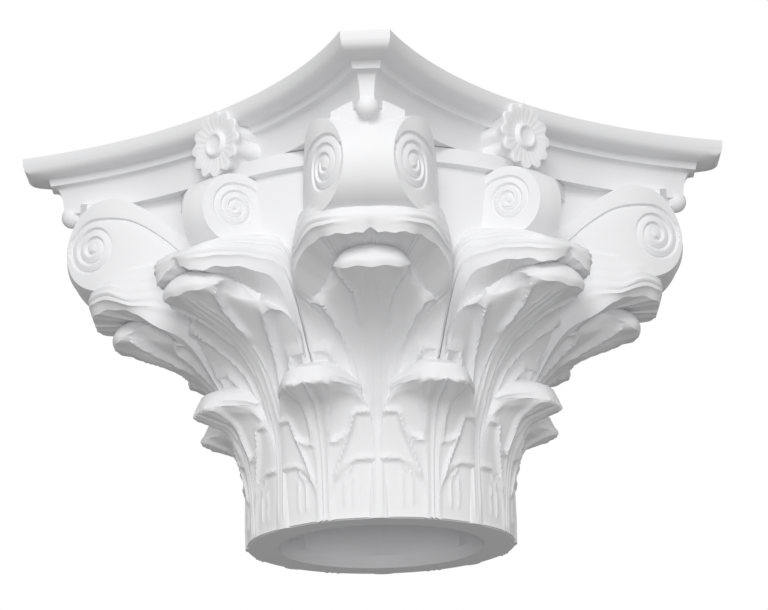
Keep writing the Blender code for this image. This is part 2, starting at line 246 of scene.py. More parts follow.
# %% Bell
BELL = [
    (0.0000, 0.0000),
    (0.1285, 0.0000),
    (0.1300, 0.1000),
    (0.1540, 0.1700),
    (0.1810, 0.2400),
    (0.1860, 0.2850),
    (0.1900, 0.3270),
    (0.1970, 0.3290),
    (0.1970, 0.3440),
    (0.1790, 0.3460),
    (0.1790, 0.3640),
    (0.0000, 0.3640),
]
ROUND_SIDES = 120


def turned_form(name, outline, sides, start=0.0):
    """A closed form swept round the axis from an outline that begins and ends on it."""
    angles = start + 360 * np.arange(sides) / sides
    rings = [around_axis(r, angles, z) for r, z in outline[1:-1]]
    hubs = [(0, 0, outline[0][1]), (0, 0, outline[-1][1])]
    return lofted(name, rings, hubs)


bell = turned_form("bell", BELL, ROUND_SIDES)
print("bell:", len(bell.data.polygons), "faces")

# %% [markdown]
# The abacus is a run moulding: a hollow, a fillet, a quarter round and a top band, all following a plan with
# four hollow sides and four cut-off horns. The hollow sides are arcs, worked out at each level from how far
# the horn and the middle of the side stand out. Below it a wall with the same kind of plan closes the space
# between the scrolls, and stays behind the lip of the bell.

# %% Abacus
# Each run: shape, then height, horn distance, half width of the horn's face and distance of the side's middle
ABACUS_RUNS = [
    ("hollow", (0.3450, 0.3095, 0.0064, 0.1785), (0.3735, 0.3190, 0.0096, 0.1865)),
    ("straight", (0.3738, 0.3225, 0.0122, 0.1890), (0.3802, 0.3242, 0.0136, 0.1905)),
    ("round", (0.3806, 0.3246, 0.0138, 0.1910), (0.3915, 0.3490, 0.0220, 0.2074)),
    ("straight", (0.3925, 0.3494, 0.0224, 0.2077), (0.4000, 0.3500, 0.0226, 0.2080)),
]
RUN_STEPS = {"hollow": 7, "straight": 2, "round": 7}
ARC_POINTS = 33


def abacus_ring(height, tip, half, middle):
    """The plan at one level: four hollow arcs, whose ends are the edges of the horns' faces."""
    end_out = (tip + half) / math.sqrt(2)
    end_along = (tip - half) / math.sqrt(2)
    rise = end_out - middle
    radius = (end_along**2 + rise**2) / (2 * rise)
    a = math.asin(end_along / radius) * even(-1, 1, ARC_POINTS)
    arc = np.stack([middle + radius * (1 - np.cos(a)), radius * np.sin(a), height + 0 * a], axis=-1)
    return np.concatenate([turned(arc, 90 * side) for side in range(4)])


def run_levels(shape, low, high):
    """The levels of one moulding. A hollow leaves its foot upright, a round arrives at its top upright."""
    t = even(0, 1, RUN_STEPS[shape])
    up, out = t, t
    if shape == "hollow":
        up, out = np.sin(t * math.pi / 2), 1 - np.cos(t * math.pi / 2)
    if shape == "round":
        up, out = 1 - np.cos(t * math.pi / 2), np.sin(t * math.pi / 2)
    low, high = np.array(low), np.array(high)
    levels = low + (high - low) * out[:, None]
    levels[:, 0] = low[0] + (high[0] - low[0]) * up
    return levels


levels = np.concatenate([run_levels(*run) for run in ABACUS_RUNS])
lofted("abacus", [abacus_ring(*level) for level in levels])
WALL_LEVELS = [
    (0.2850, 0.2450, 0.0200, 0.1520),
    (0.3200, 0.2850, 0.0120, 0.1610),
    (0.3480, 0.3040, 0.0060, 0.1640),
]
lofted("wall", [abacus_ring(*level) for level in WALL_LEVELS])
print("abacus:", len(levels), "levels, on a wall of", len(WALL_LEVELS))

# %% [markdown]
# The lower row has eight broad leaves that stand against the bell and curl out at the top. Each half has a
# pointed top lobe, a square tile-like lobe and an arched lobe at the foot, and a flat midrib runs up the
# middle and opens into flutes under the curl. The sections below run up the face, round the curl and back
# into the bell. The leaf leans a little towards its corner at the top, so its middle and its two edges have
# their own angles.

# %% Lower leaf sections
LOWER_LEAF = {
    0.00: [(0.1320, 0.0000), (0.1330, 0.0340), (0.1355, 0.0600), (0.1415, 0.0850), (0.1530, 0.1060),
           (0.1690, 0.1130), (0.1862, 0.1178), (0.1872, 0.1225), (0.1800, 0.1380), (0.1548, 0.1494),
           (0.1300, 0.1580), (0.1190, 0.1000), (0.1190, 0.0000)],
    0.30: [(0.1315, 0.0000), (0.1325, 0.0340), (0.1350, 0.0600), (0.1408, 0.0850), (0.1520, 0.1065),
           (0.1670, 0.1135), (0.1835, 0.1182), (0.1845, 0.1228), (0.1775, 0.1380), (0.1530, 0.1490),
           (0.1300, 0.1570), (0.1190, 0.1000), (0.1190, 0.0000)],
    0.56: [(0.1310, 0.0000), (0.1320, 0.0340), (0.1342, 0.0600), (0.1392, 0.0850), (0.1490, 0.1080),
           (0.1610, 0.1150), (0.1735, 0.1192), (0.1744, 0.1235), (0.1672, 0.1355), (0.1490, 0.1444),
           (0.1300, 0.1520), (0.1190, 0.1000), (0.1190, 0.0000)],
    0.75: [(0.1308, 0.0000), (0.1320, 0.0300), (0.1338, 0.0550), (0.1378, 0.0800), (0.1455, 0.1050),
           (0.1540, 0.1150), (0.1620, 0.1205), (0.1628, 0.1238), (0.1565, 0.1320), (0.1430, 0.1390),
           (0.1300, 0.1450), (0.1190, 0.1000), (0.1190, 0.0000)],
    0.90: [(0.1306, 0.0000), (0.1320, 0.0270), (0.1335, 0.0520), (0.1370, 0.0760), (0.1440, 0.1010),
           (0.1500, 0.1120), (0.1545, 0.1198), (0.1550, 0.1225), (0.1500, 0.1290), (0.1390, 0.1330),
           (0.1290, 0.1350), (0.1190, 0.0950), (0.1190, 0.0000)],
    1.00: [(0.1300, 0.0000), (0.1315, 0.0250), (0.1325, 0.0500), (0.1358, 0.0740), (0.1420, 0.0980),
           (0.1465, 0.1090), (0.1490, 0.1190), (0.1492, 0.1205), (0.1440, 0.1250), (0.1350, 0.1270),
           (0.1280, 0.1280), (0.1190, 0.0900), (0.1190, 0.0000)],
}
LOWER_FACE = 9
LOWER_FOLD = 6
# Angles from the corner's diagonal at each point of a section: inner edge, midrib and outer edge
LOWER_ANGLES = [(2.2, 23.0, 42.6), (2.0, 23.0, 42.8), (1.2, 22.8, 43.2), (1.0, 22.6, 42.8), (2.4, 22.0, 41.2),
                (4.0, 21.5, 39.8), (4.8, 20.9, 39.2), (4.9, 20.9, 39.2), (5.4, 21.0, 39.4), (6.4, 21.4, 39.8),
                (6.4, 22.3, 39.4), (3.0, 22.3, 41.0), (3.0, 22.3, 41.0)]
LEAF_HALF_MM = 48.0


def spread(inner, middle, outer, shares):
    """The angle at each share, from -1 at the inner edge to 1 at the outer one."""
    shares = np.asarray(shares)
    return np.where(shares < 0, middle + (middle - inner) * shares, middle + (outer - middle) * shares)


def folded(values, fold, marks):
    """Values at the marks along a run that is smooth except for one sharp fold."""
    values = np.asarray(values, float)
    low = through(np.arange(fold + 1), values[: fold + 1], marks[marks <= fold])
    high = through(np.arange(fold, len(values)), values[fold:], marks[marks > fold])
    return np.concatenate([low, high])


def leaf_rings(sections, face, fold, angles, shares, marks):
    """Rings from edge to edge of a leaf, with the marks along each face, and how far up each mark lies."""
    tables = sections_at(sections, shares)
    angles = np.asarray(angles, float)
    turn = np.concatenate([folded(angles[:face], fold, marks), angles[face:]])
    rings = []
    rises = []
    for share, table in zip(shares, tables):
        run = np.concatenate([folded(table[:face], fold, marks), table[face:]])
        degrees = spread(turn[:, 0], turn[:, 1], turn[:, 2], share)
        rings.append(around_axis(run[:, 0], degrees, run[:, 1]))
        step = np.hypot(np.diff(run[:, 0]), np.diff(run[:, 1]))
        rises.append(np.concatenate([[0], np.cumsum(step)]))
    return np.array(rings), np.array(rises)


# %% [markdown]
# The real leaf has a flat midrib, a pad under the curl, a narrow spear-shaped lobe, a square lobe and an
# arched one at the foot. Each stands proud by one to three millimetres, and the last two swell towards their
# tops. They are drawn once for one half of the leaf, and the other half takes the same drawing.

# %% Relief of a lower leaf
# Areas and lines in millimetres from the midrib and up the face
MIDRIB = [(0.0, -9.0), (5.0, -9.0), (4.8, 60.0), (6.0, 100.0), (8.0, 128.0), (10.0, 160.0), (-1.0, 160.0)]
TOP_PAD = [(8.6, 77.0), (13.0, 75.5), (20.0, 77.5), (26.0, 84.0), (31.0, 98.0), (35.0, 101.5), (60.0, 101.5),
           (60.0, 150.0), (23.0, 150.0), (15.0, 122.0), (10.4, 100.0)]
SPEAR = [(6.6, 30.0), (10.5, 38.0), (17.0, 60.0), (24.5, 80.5), (18.5, 74.5), (8.2, 74.0), (6.4, 55.0)]
TILE = [(31.5, 98.0), (26.5, 82.0), (18.5, 60.0), (12.5, 42.0), (21.0, 52.5), (31.5, 58.5), (60.0, 57.5),
        (60.0, 99.5), (34.0, 99.5)]
FOOT = [(7.0, 26.0), (12.0, 38.5), (21.0, 50.0), (31.5, 56.0), (60.0, 55.5), (60.0, -9.0), (7.0, -9.0)]
FOOT_DROPS = [[(28.0, 49.0), (21.5, 41.0), (20.0, 28.0), (20.0, 15.0)],
              [(29.5, 40.0), (30.5, 28.0), (30.0, 15.0)]]
LOBE_CREASES = [[(9.0, 79.0), (10.0, 95.0), (14.0, 115.0), (21.0, 136.0)],
                [(31.5, 97.0), (26.2, 82.0), (18.2, 61.0), (12.0, 41.0)],
                [(9.0, 74.6), (18.5, 75.5), (25.0, 81.5)]]
CURL_FLUTES = [[(6.5, 84.0), (10.0, 112.0), (15.0, 150.0)], [(0.0, 100.0), (0.0, 150.0)]]
# Each lobe: outline, height, height gained, where the gain starts, over what length, and width of its edge
LOWER_LOBES = [
    (MIDRIB, 1.6, 0.0, 0.0, 1.0, 3.2),
    (TOP_PAD, 2.6, 0.0, 0.0, 1.0, 6.0),
    (SPEAR, 1.2, 0.0, 0.0, 1.0, 3.5),
    (TILE, 0.8, 2.0, 45.0, 55.0, 5.0),
    (FOOT, 1.1, 1.9, 0.0, 56.0, 5.0),
]
# Each set of veins: lines, depth and width
LOWER_VEINS = [(FOOT_DROPS, 1.5, 1.4), (CURL_FLUTES, 1.2, 1.5), (LOBE_CREASES, 1.6, 1.9)]
print("lower leaf:", len(LOWER_LOBES), "lobes and", sum(len(lines) for lines, _, _ in LOWER_VEINS), "veins")

# %% [markdown]
# The rings of a leaf lie close together where the lip curls and further apart behind it, so the triangles are
# spent where they are seen. The real lip isn't straight, so it rises and falls in a shallow wave. One leaf is
# made. Its mirror image stands on the other side of the corner, and turned copies of the two fill the row.

# %% Lower leaves
LOWER_SHARES = even(-1, 1, 53)
LOWER_MARKS = np.concatenate([even(0, 1.7, 13), even(1.78, 2.08, 9), even(2.2, 3.4, 12), even(3.46, 3.74, 8),
                              even(3.86, 6, 16), [6.15], even(6.5, 8, 6)])
LOWER_LIP_WAVES = 3.5
LOWER_LIP_WAVE = 0.0018
LOWER_LIP_REACH = 0.7


def lower_leaf():
    rings, rises = leaf_rings(LOWER_LEAF, LOWER_FACE, LOWER_FOLD, LOWER_ANGLES, LOWER_SHARES, LOWER_MARKS)
    faced = len(LOWER_MARKS) - 3
    shares = np.repeat(LOWER_SHARES[:, None], faced, axis=1)
    amount = np.zeros(rings.shape[:2])
    near_lip = np.exp(-(((LOWER_MARKS[:faced] - LOWER_FOLD) / LOWER_LIP_REACH) ** 2))
    wave = 0.5 + 0.5 * np.cos(2 * np.pi * LOWER_LIP_WAVES * LOWER_SHARES)
    drawn = np.abs(shares) * LEAF_HALF_MM
    amount[:, :faced] = relief(drawn, rises[:, :faced] * 1000, LOWER_LOBES, LOWER_VEINS)
    rings = pushed(rings, amount)
    rings[:, :faced, 2] += LOWER_LIP_WAVE * wave[:, None] * near_lip[None, :]
    return rings


lower = lower_leaf()
for k in range(4):
    lofted("lower_leaf", turned(lower, 45 + 90 * k))
    mirror = lower * [1, -1, 1]
    lofted("lower_leaf", turned(mirror, 45 + 90 * k))
print("lower leaves: 8, each of", lower.shape[0] * lower.shape[1], "points")

# %% [markdown]
# The upper row has eight leaves as well, one on each corner and one in the middle of each side. Each rises on
# a narrow stem between two lower leaves, spreads into three pairs of blades and curls out under a hood. The
# stem and the middle of the leaf carry fine upright flutes.

# %% Upper leaf sections
# Radius, height and the half angle that the leaf covers there
UPPER_LEAF = {
    0.00: [(0.1320, 0.0000, 4.3), (0.1320, 0.0800, 4.8), (0.1410, 0.1150, 14.0), (0.1560, 0.1480, 20.5),
           (0.1780, 0.1720, 20.8), (0.2070, 0.1880, 15.6), (0.2380, 0.1990, 10.8), (0.2590, 0.2050, 8.4),
           (0.2610, 0.2130, 8.2), (0.2540, 0.2260, 8.6), (0.2350, 0.2370, 9.4), (0.1800, 0.2760, 15.0),
           (0.1350, 0.2150, 17.0), (0.1190, 0.0000, 4.0)],
    0.40: [(0.1315, 0.0000, 4.3), (0.1312, 0.0800, 4.8), (0.1400, 0.1150, 14.0), (0.1535, 0.1480, 20.5),
           (0.1750, 0.1720, 20.8), (0.2030, 0.1890, 15.6), (0.2350, 0.2005, 10.8), (0.2580, 0.2055, 8.4),
           (0.2600, 0.2135, 8.2), (0.2530, 0.2250, 8.6), (0.2330, 0.2355, 9.4), (0.1800, 0.2760, 15.0),
           (0.1350, 0.2150, 17.0), (0.1190, 0.0000, 4.0)],
    0.75: [(0.1308, 0.0000, 4.3), (0.1305, 0.0800, 4.8), (0.1410, 0.1150, 14.0), (0.1575, 0.1460, 20.5),
           (0.1790, 0.1720, 20.8), (0.2020, 0.1905, 16.2), (0.2290, 0.2030, 10.8), (0.2530, 0.2068, 8.4),
           (0.2550, 0.2130, 8.2), (0.2480, 0.2220, 8.6), (0.2280, 0.2300, 9.4), (0.1800, 0.2760, 15.0),
           (0.1350, 0.2150, 17.0), (0.1190, 0.0000, 4.0)],
    1.00: [(0.1290, 0.0000, 4.3), (0.1290, 0.0800, 4.8), (0.1410, 0.1150, 14.0), (0.1610, 0.1450, 20.5),
           (0.1840, 0.1740, 20.8), (0.2030, 0.1940, 16.2), (0.2180, 0.2070, 10.8), (0.2440, 0.2100, 8.4),
           (0.2450, 0.2120, 8.2), (0.2390, 0.2160, 8.6), (0.2200, 0.2220, 9.4), (0.1800, 0.2760, 15.0),
           (0.1350, 0.2150, 17.0), (0.1190, 0.0000, 4.0)],
}
UPPER_FACE = 11
UPPER_FOLD = 7
UPPER_SHARES = even(-1, 1, 53)
UPPER_MARKS = np.concatenate([even(0, 1, 5), even(1.25, 6, 40), even(6.2, 7, 6), [7.2], even(7.6, 10, 7)])
# Millimetres from the middle and up the face
BLADE_TOP = [(13.0, 188.0), (14.0, 212.0), (18.0, 232.0), (34.0, 262.0), (60.0, 262.0), (60.0, 222.0),
             (47.0, 216.0), (38.0, 198.0), (30.0, 187.0)]
BLADE_MIDDLE = [(15.0, 124.0), (24.0, 158.0), (32.0, 180.0), (38.5, 195.0), (49.0, 214.0), (80.0, 214.0),
                (80.0, 170.0), (53.0, 167.5), (43.0, 165.0), (31.0, 144.0)]
BLADE_FOOT = [(15.0, 118.0), (24.0, 126.0), (32.0, 141.0), (44.0, 160.5), (54.0, 163.0), (80.0, 163.0),
              (80.0, 90.0), (15.0, 90.0)]
BLADE_CREASES = [[(13.0, 192.0), (14.0, 212.0), (18.5, 232.0), (30.0, 258.0)],
                 [(16.0, 128.0), (24.0, 160.0), (32.0, 180.0), (38.5, 195.0), (49.0, 214.0)],
                 [(16.0, 104.0), (24.0, 124.0), (32.0, 140.0), (44.0, 160.0)]]
STEM_FLUTES = [[(3.6, 20.0), (4.0, 262.0)], [(9.0, 90.0), (9.5, 256.0)]]
# As for the lower leaf
UPPER_LOBES = [
    (BLADE_TOP, 0.0, 6.0, 186.0, 55.0, 9.0),
    (BLADE_MIDDLE, 0.0, 6.5, 130.0, 75.0, 9.0),
    (BLADE_FOOT, 0.0, 5.0, 100.0, 58.0, 8.0),
]
UPPER_VEINS = [(STEM_FLUTES, 1.1, 1.3), (BLADE_CREASES, 2.6, 2.3)]
print("upper leaf:", len(UPPER_LOBES), "pairs of blades and", sum(len(v[0]) for v in UPPER_VEINS), "veins")

# %% [markdown]
# The upper leaf is made in the same way: rings across it, relief pushed out and a wave in the lip. Its blades
# flare at their tips, so their relief grows with height. It is alike on both sides of its middle, so turned
# copies are enough and no mirror image is needed.

# %% Upper leaves
UPPER_LIP_WAVE = 0.0016
UPPER_LIP_WAVES = 1.5
UPPER_LIP_REACH = 0.6


def upper_leaf():
    tables = sections_at(UPPER_LEAF, UPPER_SHARES)
    rings = []
    rises = []
    offsets = []
    for share, table in zip(UPPER_SHARES, tables):
        run = np.concatenate([folded(table[:UPPER_FACE], UPPER_FOLD, UPPER_MARKS), table[UPPER_FACE:]])
        rings.append(around_axis(run[:, 0], share * run[:, 2], run[:, 1]))
        step = np.hypot(np.diff(run[:, 0]), np.diff(run[:, 1]))
        rises.append(np.concatenate([[0], np.cumsum(step)]))
        offsets.append(np.abs(share) * np.radians(run[:, 2]) * run[:, 0] * 1000)
    rings = np.array(rings)
    faced = len(UPPER_MARKS) - 3
    amount = np.zeros(rings.shape[:2])
    drawn = np.array(offsets)[:, :faced]
    amount[:, :faced] = relief(drawn, np.array(rises)[:, :faced] * 1000, UPPER_LOBES, UPPER_VEINS)
    near_lip = np.exp(-(((UPPER_MARKS[:faced] - UPPER_FOLD) / UPPER_LIP_REACH) ** 2))
    wave = 0.5 - 0.5 * np.cos(2 * np.pi * UPPER_LIP_WAVES * UPPER_SHARES)
    rings = pushed(rings, amount)
    rings[:, :faced, 2] += UPPER_LIP_WAVE * wave[:, None] * near_lip[None, :]
    return rings


upper = upper_leaf()
for k in range(8):
    lofted("upper_leaf", turned(upper, 45 * k))
print("upper leaves: 8, each of", upper.shape[0] * upper.shape[1], "points")

# %% [markdown]
# Over each upper leaf lies a hood, the shell-like sheath that the scrolls spring from. It has a rolled front
# lip and sweeps back on both sides into the valley between two arms. Fine ridges run along it, parallel to
# its upper edge. Each row below is one section of a half: lip edge, outer swell, top edge, root inside the
# scroll and hollow underside.

# %% Hood sections
CORNER_HOOD = [
    [(0.2790, 0.000, 0.2320), (0.2835, 0.000, 0.2480), (0.2790, 0.000, 0.2640),
     (0.1500, 0.000, 0.2850), (0.2300, 0.000, 0.2300)],
    [(0.2790, 0.015, 0.2315), (0.2830, 0.018, 0.2480), (0.2775, 0.018, 0.2640),
     (0.1500, 0.010, 0.2850), (0.2280, 0.012, 0.2290)],
    [(0.2760, 0.034, 0.2318), (0.2790, 0.038, 0.2480), (0.2710, 0.037, 0.2650),
     (0.1500, 0.020, 0.2850), (0.2230, 0.025, 0.2250)],
    [(0.2580, 0.050, 0.2325), (0.2615, 0.058, 0.2480), (0.2540, 0.052, 0.2675),
     (0.1500, 0.030, 0.2850), (0.2140, 0.034, 0.2180)],
    [(0.2350, 0.066, 0.2240), (0.2390, 0.068, 0.2380), (0.2330, 0.061, 0.2690),
     (0.1500, 0.040, 0.2850), (0.1990, 0.041, 0.2060)],
    [(0.2130, 0.073, 0.2080), (0.2090, 0.073, 0.2380), (0.2040, 0.068, 0.2680),
     (0.1450, 0.050, 0.2600), (0.1830, 0.045, 0.1910)],
    [(0.1800, 0.068, 0.1890), (0.1750, 0.073, 0.2180), (0.1690, 0.074, 0.2380),
     (0.1300, 0.055, 0.2150), (0.1590, 0.044, 0.1630)],
    [(0.1450, 0.055, 0.1330), (0.1400, 0.058, 0.1500), (0.1360, 0.058, 0.1600),
     (0.1150, 0.050, 0.1500), (0.1300, 0.045, 0.1200)],
]
SIDE_HOOD = [
    [(0.2610, 0.000, 0.2340), (0.2640, 0.000, 0.2430), (0.2560, 0.000, 0.2500),
     (0.1500, 0.000, 0.2850), (0.2300, 0.000, 0.2280)],
    [(0.2620, 0.014, 0.2290), (0.2640, 0.016, 0.2420), (0.2550, 0.016, 0.2500),
     (0.1500, 0.010, 0.2850), (0.2280, 0.011, 0.2270)],
    [(0.2580, 0.030, 0.2232), (0.2580, 0.032, 0.2420), (0.2480, 0.029, 0.2520),
     (0.1500, 0.020, 0.2850), (0.2215, 0.022, 0.2268)],
    [(0.2430, 0.044, 0.2270), (0.2410, 0.046, 0.2440), (0.2320, 0.036, 0.2580),
     (0.1500, 0.026, 0.2850), (0.2130, 0.032, 0.2190)],
    [(0.2180, 0.058, 0.2250), (0.2130, 0.058, 0.2450), (0.2050, 0.048, 0.2620),
     (0.1480, 0.036, 0.2750), (0.1930, 0.041, 0.2040)],
    [(0.1870, 0.065, 0.2110), (0.1820, 0.068, 0.2340), (0.1770, 0.062, 0.2530),
     (0.1350, 0.050, 0.2300), (0.1690, 0.044, 0.1800)],
    [(0.1450, 0.055, 0.1330), (0.1400, 0.058, 0.1500), (0.1360, 0.058, 0.1600),
     (0.1150, 0.050, 0.1500), (0.1300, 0.045, 0.1200)],
]

# %% [markdown]
# A hood is one skin from valley to valley, lofted through its sections and then given ridges along its face.
# The ridges fade out over the front, where the real roll is plain. The lip waves slightly and rises to a
# notch in the middle.

# %% Hoods
HOOD_ROWS = 30
FACE_COLUMNS = 21
RIDGES = 4.5
RIDGE_HEIGHT = 0.0015
# The ridges begin this share up the face. They fade in from the first number of sections off the middle, over
# the second number of sections.
RIDGE_START = 0.22
RIDGE_FADE = (0.9, 1.2)
HOOD_LIP_WAVE = 0.0009
HOOD_LIP_WAVES = 2.2
HOOD_LIP_END = 4
NOTCH_HEIGHT = 0.0042
NOTCH_WIDTH = 0.35
BACK_SHARE = 0.4


def hood_rings(half):
    """Rings over a whole hood, from one valley over the front to the other."""
    half = np.array(half)
    whole = np.concatenate([half[:0:-1] * [1, -1, 1], half])
    rows = len(whole)
    places = even(0, rows - 1, 2 * HOOD_ROWS + 1)
    sections = through(np.arange(rows), whole, places)
    rings = []
    for place, section in zip(places, sections):
        far = abs(place - (rows - 1) / 2)
        wave = HOOD_LIP_WAVE * math.cos(far * math.pi * HOOD_LIP_WAVES) * (far < HOOD_LIP_END)
        wave += NOTCH_HEIGHT * math.exp(-((far / NOTCH_WIDTH) ** 2))
        section = section + 0
        section[0, 2] += wave
        face = through([0, 1, 2], section[:3], even(0, 2, FACE_COLUMNS))
        behind = section[2] * (1 - BACK_SHARE) + section[3] * BACK_SHARE
        rings.append(np.concatenate([face, [behind], section[3:]]))
    rings = np.array(rings)
    amount = np.zeros(rings.shape[:2])
    t = even(0, 1, FACE_COLUMNS)
    up_face = np.clip((t - RIDGE_START) / (1 - RIDGE_START), 0, 1)
    ridge = 0.5 - 0.5 * np.cos(2 * np.pi * RIDGES * up_face)
    fade = np.clip((np.abs(places - (rows - 1) / 2) - RIDGE_FADE[0]) / RIDGE_FADE[1], 0, 1)
    amount[:, :FACE_COLUMNS] = RIDGE_HEIGHT * ridge[None, :] * fade[:, None]
    return pushed(rings, amount)


corner_hood = hood_rings(CORNER_HOOD)
side_hood = hood_rings(SIDE_HOOD)
for k in range(4):
    lofted("corner_hood", turned(corner_hood, 45 + 90 * k))
    lofted("side_hood", turned(side_hood, 90 * k))
print("hoods: 8, each of", corner_hood.shape[0], "or", side_hood.shape[0], "rings")

# %% [markdown]
# The scrolls are arms that spring from the hoods. Each arm has two faces, which lean together towards the
# front and run nearly straight back behind the eye. On each face a groove runs in from the back, follows the
# rim and winds down to the eye. The face is meshed from points laid along that groove at set distances, so
# the groove stays crisp with few triangles. A plain grid as crisp as that would need many more.

# %% Scroll faces
# Outlines in metres along the face from the eye, and height above the eye
CORNER_SCROLL = {
    "eye": (0.2775, 0.0425, 0.2980),
    "out": 0.8746,
    "slope": 0.6300,
    "widest": 0.0225,
    "outline": [(-0.1500, -0.058), (-0.1500, -0.023), (-0.0970, 0.008), (-0.0635, 0.032), (-0.0300, 0.0470),
                (-0.0140, 0.0475), (0.0000, 0.0452), (0.0130, 0.0380), (0.0225, 0.0270), (0.0285, 0.0150),
                (0.0312, 0.0010), (0.0295, -0.0130), (0.0235, -0.0260), (0.0130, -0.0365), (0.0000, -0.0430),
                (-0.0300, -0.0500)],
    "groove_start": [(-0.0980, -0.012), (-0.0806, 0.0016), (-0.0458, 0.0212), (-0.0240, 0.0262),
                     (-0.0100, 0.0280)],
    "radius": 0.0285,
    "pitch": 0.0090,
    "turns": 2.75,
}
SIDE_SCROLL = {
    "eye": (0.2080, 0.0255, 0.2975),
    "out": 0.9455,
    "slope": 0.3256,
    "widest": 0.0800,
    "outline": [(-0.0900, -0.0575), (-0.0900, -0.0200), (-0.0550, 0.0090), (-0.0260, 0.0260),
                (-0.0050, 0.0325), (0.0120, 0.0305), (0.0240, 0.0220), (0.0315, 0.0095), (0.0335, -0.0045),
                (0.0300, -0.0185), (0.0210, -0.0295), (0.0080, -0.0365), (-0.0200, -0.0415)],
    "groove_start": [(-0.0720, -0.0260), (-0.0520, -0.0080), (-0.0300, 0.0105), (-0.0150, 0.0205)],
    "radius": 0.0225,
    "pitch": 0.0076,
    "turns": 2.6,
}
GROOVE_OFFSETS = [-0.0036, -0.0018, -0.0008, 0.0, 0.0008, 0.0018, 0.0036]
GROOVE_DEPTH = 0.0027
GROOVE_WIDTH = 0.0011
STEP_DEPTH = 0.0017
STEP_START = 0.0007
STEP_FADE = 0.0060
EYE_RADIUS = 0.0040
EYE_HEIGHT = 0.0016
RIM_SPACING = 0.003
GRID_SPACING = 0.009
# How far the points of the plain grid stay away from the groove and the rim, and loose points from the rim
CLEAR_OF_GROOVE = 0.0050
CLEAR_OF_RIM = 0.003
LEAST_FROM_RIM = 0.0006
POINT_GAP = 0.0005


def rounded(points, spacing):
    """Points at an even spacing on a smooth line through the points given."""
    points = np.asarray(points, float)
    run = np.concatenate([[0], np.cumsum(np.hypot(*np.diff(points, axis=0).T))])
    count = max(2, int(round(run[-1] / spacing)) + 1)
    return through(run, points, even(0, run[-1], count))


def scroll_groove(scroll):
    """The line of the groove: in along the arm, then round and round to the eye."""
    turns = np.arange(0, scroll["turns"] + 1e-9, 1 / 30)
    radius = scroll["radius"] - scroll["pitch"] * turns
    a = 2 * np.pi * turns
    spiral = np.stack([radius * np.sin(a), radius * np.cos(a)], axis=-1)
    return np.concatenate([rounded(scroll["groove_start"] + [tuple(spiral[0])], RIM_SPACING)[:-1], spiral])


def groove_relief(x, y, line):
    """Depth of the cut: a narrow groove, with the side towards the eye set a step lower."""
    d, side = distance_to_line(x, y, line)
    inner = np.where(side < 0, np.exp(-d / STEP_FADE) * (1 - np.exp(-d / STEP_START)), 0)
    eye = np.hypot(x, y)
    boss = np.where(eye < EYE_RADIUS, np.sqrt(np.maximum(0, 1 - (eye / EYE_RADIUS) ** 2)) * EYE_HEIGHT, 0)
    return -GROOVE_DEPTH * np.exp(-((d / GROOVE_WIDTH) ** 2)) - STEP_DEPTH * inner + boss


def scroll_face(scroll):
    """The points of a face, its triangles and the order of its rim."""
    rim = rounded(scroll["outline"], RIM_SPACING)
    line = scroll_groove(scroll)
    tangent = np.gradient(line, axis=0)
    tangent /= np.linalg.norm(tangent, axis=1, keepdims=True)
    across = np.stack([-tangent[:, 1], tangent[:, 0]], axis=-1)
    laid = [line + across * offset for offset in GROOVE_OFFSETS]
    xs, ys = np.meshgrid(np.arange(-0.15, 0.04, GRID_SPACING), np.arange(-0.06, 0.05, GRID_SPACING))
    laid.append(np.stack([xs.ravel(), ys.ravel()], axis=-1))
    laid.append(rim * 0.97)
    loose = np.concatenate(laid)
    d_rim, _ = distance_to_line(loose[:, 0], loose[:, 1], [tuple(p) for p in rim] + [tuple(rim[0])])
    ok = inside(loose[:, 0], loose[:, 1], [tuple(p) for p in rim]) & (d_rim > LEAST_FROM_RIM)
    grid = np.concatenate([np.full(len(l), i == len(laid) - 2) for i, l in enumerate(laid)])
    d_line, _ = distance_to_line(loose[:, 0], loose[:, 1], [tuple(p) for p in line])
    ok &= ~(grid & ((d_line < CLEAR_OF_GROOVE) | (d_rim < CLEAR_OF_RIM)))
    kept = [tuple(p) for p in rim]
    cells = {}
    for p in loose[ok]:
        key = (int(p[0] / POINT_GAP), int(p[1] / POINT_GAP))
        if key not in cells:
            cells[key] = p
            kept.append(tuple(p))
    rim_edges = [(i, (i + 1) % len(rim)) for i in range(len(rim))]
    flat, _, faces, _, _, _ = delaunay_2d_cdt([Vector(p) for p in kept], rim_edges, [], 1, 1e-7)
    flat = np.array([tuple(p) for p in flat])
    height = groove_relief(flat[:, 0], flat[:, 1], [tuple(p) for p in line])
    height[: len(rim)] = 0
    return flat, height, faces, len(rim)


# %% [markdown]
# An arm of the real capital is a thick slab with a soft roll along its edge. Here it is a face, its mirror
# image and three rows of points between the two rims, the middle one a little proud. One closed skin like
# this joins the casting cleanly, which two loose faces would not.

